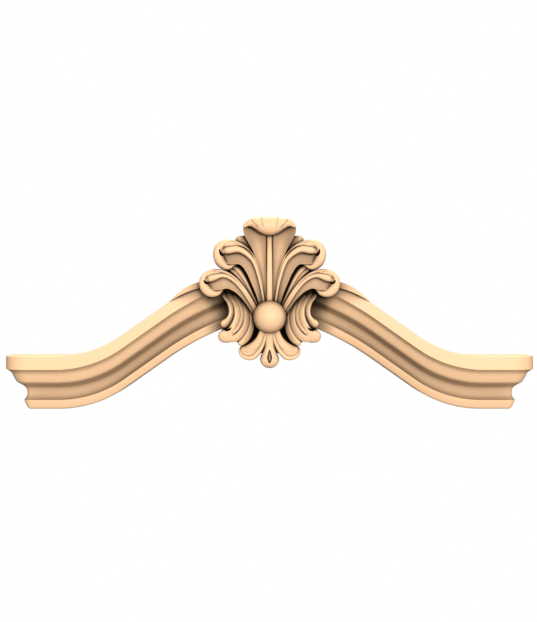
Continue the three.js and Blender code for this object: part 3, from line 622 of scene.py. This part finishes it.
eye = {"lens": 55.65, "height": -30.1 * mm, "aside": -1.6 * mm, "fromFace": 1426 * mm}
bpy.ops.object.camera_add(
    location=(eye["aside"], -moulding["depth"] - eye["fromFace"], eye["height"]),
    rotation=(math.pi / 2, 0, 0),
)
bpy.context.object.data.lens = eye["lens"]
bpy.context.scene.camera = bpy.context.object

# Studio: white surround, a broad light from the front, one from behind and above, and a pale floor

studio = {
    "fill": 0.05,
    "key": {"strength": 4.85, "spread": math.radians(28), "from": (0.1, -0.9, 0.2)},
    "back": {"strength": 4.8, "spread": math.radians(30), "from": (0.05, 0.45, 0.9)},
    "floorHeight": -0.76,
    "floorRadius": 0.74,
}


def broadLight(name):
    light = studio[name]
    bpy.ops.object.light_add(type="SUN", location=light["from"])
    lamp = bpy.context.object
    lamp.name = name + "Light"
    lamp.data.energy = light["strength"]
    lamp.data.angle = light["spread"]
    lamp.rotation_euler = Vector(light["from"]).to_track_quat("Z", "Y").to_euler()


def makeStudio():
    world = bpy.data.worlds.new("studio")
    bpy.context.scene.world = world
    world.use_nodes = True
    nodes, links = world.node_tree.nodes, world.node_tree.links
    nodes.clear()
    out = nodes.new("ShaderNodeOutputWorld")
    mix = nodes.new("ShaderNodeMixShader")
    path = nodes.new("ShaderNodeLightPath")
    fill = nodes.new("ShaderNodeBackground")
    fill.inputs["Strength"].default_value = studio["fill"]
    seen = nodes.new("ShaderNodeBackground")
    for background in (fill, seen):
        background.inputs["Color"].default_value = (1, 1, 1, 1)
    links.new(path.outputs["Is Camera Ray"], mix.inputs[0])
    links.new(fill.outputs[0], mix.inputs[1])
    links.new(seen.outputs[0], mix.inputs[2])
    links.new(mix.outputs[0], out.inputs[0])
    broadLight("key")
    broadLight("back")
    bpy.ops.mesh.primitive_circle_add(vertices=128, radius=studio["floorRadius"], fill_type="NGON",
                                      location=(0, -0.06, studio["floorHeight"]))
    floor = bpy.context.object
    floor.name = "studioFloor"
    paint = bpy.data.materials.new("floorPaint")
    paint.use_nodes = True
    paint.node_tree.nodes["Principled BSDF"].inputs["Base Color"].default_value = (0.85, 0.85, 0.85, 1)
    floor.data.materials.append(paint)
    floor.visible_diffuse = False
    bpy.context.scene.view_settings.view_transform = "Standard"
    bpy.context.scene.view_settings.look = "None"


makeStudio()

# Wood: a pale beech with a faint figure, and painted shade that darkens its colour in creases and hollows

# Each wood's darkest colour is the painted shade laid into creases and hollows, next to the reaches and
# strengths of that shade
woods = {
    "mouldingWood": {"pale": (0.8, 0.51, 0.295, 1), "figure": (0.77, 0.48, 0.265, 1),
                     "deep": (0.012, 0.007, 0.003, 1), "grain": (0.6, 9, 9), "roughness": 0.55, "gloss": 0.2,
                     "shade": {"Narrow": 0.005, "Narrow Depth": 1, "Wide": 0.038, "Wide Depth": 3.3}},
    "carvingWood": {"pale": (0.8, 0.51, 0.295, 1), "figure": (0.77, 0.48, 0.265, 1),
                    "deep": (0.008, 0.004, 0.002, 1), "grain": (9, 9, 0.6), "roughness": 0.55, "gloss": 0.2,
                    "shade": {"Narrow": 0.005, "Narrow Depth": 1, "Wide": 0.032, "Wide Depth": 2.7}},
}


def newGroup(name, sockets):
    group = bpy.data.node_groups.new(name, "ShaderNodeTree")
    for label, direction, kind, value in sockets:
        socket = group.interface.new_socket(name=label, in_out=direction, socket_type=kind)
        if value is not None:
            socket.default_value = value
    source = group.nodes.new("NodeGroupInput")
    target = group.nodes.new("NodeGroupOutput")
    return group, source, target


def makeFigureGroup():
    # Faint streaks of the grain between two shades of the wood
    group, source, target = newGroup("woodFigure", [
        ("Pale", "INPUT", "NodeSocketColor", (1, 1, 1, 1)),
        ("Figure", "INPUT", "NodeSocketColor", (1, 1, 1, 1)),
        ("Grain", "INPUT", "NodeSocketVector", (1, 1, 1)),
        ("Color", "OUTPUT", "NodeSocketColor", None),
    ])
    nodes, links = group.nodes, group.links
    place = nodes.new("ShaderNodeTexCoord")
    stretch = nodes.new("ShaderNodeMapping")
    noise = nodes.new("ShaderNodeTexNoise")
    noise.inputs["Scale"].default_value = 14
    noise.inputs["Detail"].default_value = 5
    blend = nodes.new("ShaderNodeMix")
    blend.data_type = "RGBA"
    links.new(place.outputs["Object"], stretch.inputs["Vector"])
    links.new(source.outputs["Grain"], stretch.inputs["Scale"])
    links.new(stretch.outputs["Vector"], noise.inputs["Vector"])
    links.new(noise.outputs["Fac"], blend.inputs["Factor"])
    links.new(source.outputs["Pale"], blend.inputs["A"])
    links.new(source.outputs["Figure"], blend.inputs["B"])
    links.new(blend.outputs["Result"], target.inputs["Color"])
    return group


def makeCreviceGroup():
    # Painted shade: darkens the colour towards near black in narrow creases and wide hollows, each over its
    # own reach
    group, source, target = newGroup("creviceShade", [
        ("Color", "INPUT", "NodeSocketColor", (1, 1, 1, 1)),
        ("Painted Shade", "INPUT", "NodeSocketColor", (0, 0, 0, 1)),
        ("Narrow", "INPUT", "NodeSocketFloat", 0.005),
        ("Narrow Depth", "INPUT", "NodeSocketFloat", 1),
        ("Wide", "INPUT", "NodeSocketFloat", 0.04),
        ("Wide Depth", "INPUT", "NodeSocketFloat", 3),
        ("Color", "OUTPUT", "NodeSocketColor", None),
        ("Open", "OUTPUT", "NodeSocketFloat", None),
    ])
    nodes, links = group.nodes, group.links
    levels = []
    for reach in ("Narrow", "Wide"):
        openness = nodes.new("ShaderNodeAmbientOcclusion")
        openness.samples = 16
        links.new(source.outputs[reach], openness.inputs["Distance"])
        bend = nodes.new("ShaderNodeMath")
        bend.operation = "POWER"
        links.new(openness.outputs["AO"], bend.inputs[0])
        links.new(source.outputs[reach + " Depth"], bend.inputs[1])
        levels.append(bend)
    both = nodes.new("ShaderNodeMath")
    both.operation = "MULTIPLY"
    links.new(levels[0].outputs[0], both.inputs[0])
    links.new(levels[1].outputs[0], both.inputs[1])
    blend = nodes.new("ShaderNodeMix")
    blend.data_type = "RGBA"
    links.new(both.outputs[0], blend.inputs["Factor"])
    links.new(both.outputs[0], target.inputs["Open"])
    links.new(source.outputs["Painted Shade"], blend.inputs["A"])
    links.new(source.outputs["Color"], blend.inputs["B"])
    links.new(blend.outputs["Result"], target.inputs["Color"])
    return group


figureGroup = makeFigureGroup()
creviceGroup = makeCreviceGroup()


def makeWood(name):
    values = woods[name]
    wood = bpy.data.materials.new(name)
    wood.use_nodes = True
    nodes, links = wood.node_tree.nodes, wood.node_tree.links
    shader = nodes["Principled BSDF"]
    shader.inputs["Roughness"].default_value = values["roughness"]
    figure = nodes.new("ShaderNodeGroup")
    figure.node_tree = figureGroup
    figure.inputs["Pale"].default_value = values["pale"]
    figure.inputs["Figure"].default_value = values["figure"]
    figure.inputs["Grain"].default_value = values["grain"]
    # Painted shade: the crevice group darkens the base colour in creases and hollows before it reaches the
    # shader
    crevice = nodes.new("ShaderNodeGroup")
    crevice.node_tree = creviceGroup
    crevice.inputs["Painted Shade"].default_value = values["deep"]
    for label, amount in values["shade"].items():
        crevice.inputs[label].default_value = amount
    links.new(figure.outputs["Color"], crevice.inputs["Color"])
    links.new(crevice.outputs["Color"], shader.inputs["Base Color"])
    gloss = nodes.new("ShaderNodeMath")
    gloss.operation = "MULTIPLY"
    gloss.inputs[1].default_value = values["gloss"]
    links.new(crevice.outputs["Open"], gloss.inputs[0])
    links.new(gloss.outputs[0], shader.inputs["Specular IOR Level"])
    return wood


for piece, woodName, slot, node in (
    (mouldingPiece, "mouldingWood", "moulding_wood", "cornice_moulding"),
    (cartouchePiece, "carvingWood", "carving_wood", "acanthus_cartouche"),
):
    piece.data.materials.clear()
    piece.data.materials.append(makeWood(woodName))
    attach(piece, "root")
    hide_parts(node)
print("materials and bodies set")
